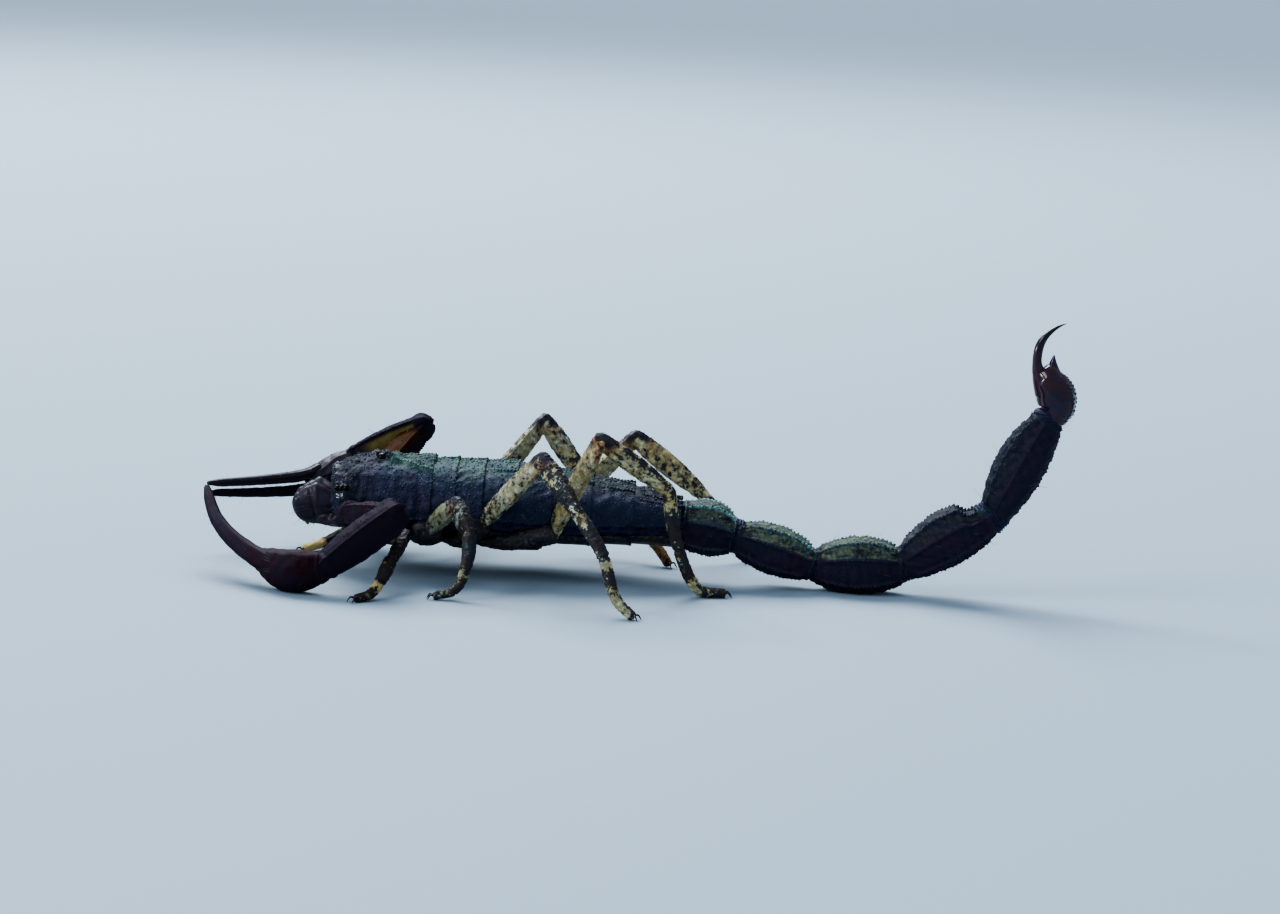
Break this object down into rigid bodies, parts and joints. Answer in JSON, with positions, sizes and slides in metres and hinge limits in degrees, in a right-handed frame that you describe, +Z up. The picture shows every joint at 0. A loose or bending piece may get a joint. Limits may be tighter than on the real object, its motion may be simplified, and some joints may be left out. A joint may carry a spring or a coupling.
{
  "type": "scorpion",
  "caption": "Still life-size model of a mottled bark scorpion that stands on its legs, pincers forward and closed, tail laid back on the ground and the sting raised.",
  "frame": {"origin": "centre of the ground under the animal's bounding box, at the level its feet stand on", "axes": "+X towards the tail and sting, so the head looks along -X; +Z up; the animal's right side is +Y"},
  "size_m": [0.0517, 0.0209, 0.017],
  "materials": {
    "back_shell": "granular, satin, teal grey on near black",
    "tail_shell": "granular, satin, blue black with olive flanks",
    "pincer_shell": "smooth, semi gloss, purple black",
    "leg_shell": "satin, cream yellow with dark brown blotches",
    "belly_shell": "satin, dark brown",
    "sting_shell": "polished, dark red brown",
    "eye": "polished, black",
    "membrane": "soft, dull, dark buff skin between the plates",
    "bristle": "fine, pale, straight hairs"
  },
  "bodies": {
    "root": {"median_eye_left": "eye", "lateral_eyes_left": "eye", "median_eye_right": "eye", "lateral_eyes_right": "eye", "carapace": "back_shell", "prosoma_underside": "belly_shell", "mesosoma_1": "back_shell", "mesosoma_2": "back_shell", "mesosoma_3": "back_shell", "mesosoma_4": "back_shell", "mesosoma_5": "back_shell", "mesosoma_6": "back_shell", "mesosoma_7": "back_shell", "metasoma_1": "tail_shell", "metasoma_2": "tail_shell", "metasoma_3": "tail_shell", "metasoma_4": "tail_shell", "metasoma_5": "tail_shell", "telson": "sting_shell", "sting": "sting_shell", "chelicera_left": "pincer_shell", "chelicera_right": "pincer_shell", "pedipalp_left_trochanter": "pincer_shell", "pedipalp_left_femur": "pincer_shell", "pedipalp_left_patella": "pincer_shell", "pedipalp_left_hand": "pincer_shell", "pedipalp_left_finger": "pincer_shell", "pedipalp_right_trochanter": "pincer_shell", "pedipalp_right_femur": "pincer_shell", "pedipalp_right_patella": "pincer_shell", "pedipalp_right_hand": "pincer_shell", "pedipalp_right_finger": "pincer_shell", "leg_left_1_femur": "leg_shell", "leg_left_1_patella": "leg_shell", "leg_left_1_foot": "leg_shell", "leg_left_2_femur": "leg_shell", "leg_left_2_patella": "leg_shell", "leg_left_2_foot": "leg_shell", "leg_left_3_femur": "leg_shell", "leg_left_3_patella": "leg_shell", "leg_left_3_foot": "leg_shell", "leg_left_4_femur": "leg_shell", "leg_left_4_patella": "leg_shell", "leg_left_4_foot": "leg_shell", "leg_right_1_femur": "leg_shell", "leg_right_1_patella": "leg_shell", "leg_right_1_foot": "leg_shell", "leg_right_2_femur": "leg_shell", "leg_right_2_patella": "leg_shell", "leg_right_2_foot": "leg_shell", "leg_right_3_femur": "leg_shell", "leg_right_3_patella": "leg_shell", "leg_right_3_foot": "leg_shell", "leg_right_4_femur": "leg_shell", "leg_right_4_patella": "leg_shell", "leg_right_4_foot": "leg_shell", "pectine_left": "belly_shell", "pectine_right": "belly_shell"}
  },
  "joints": []
}
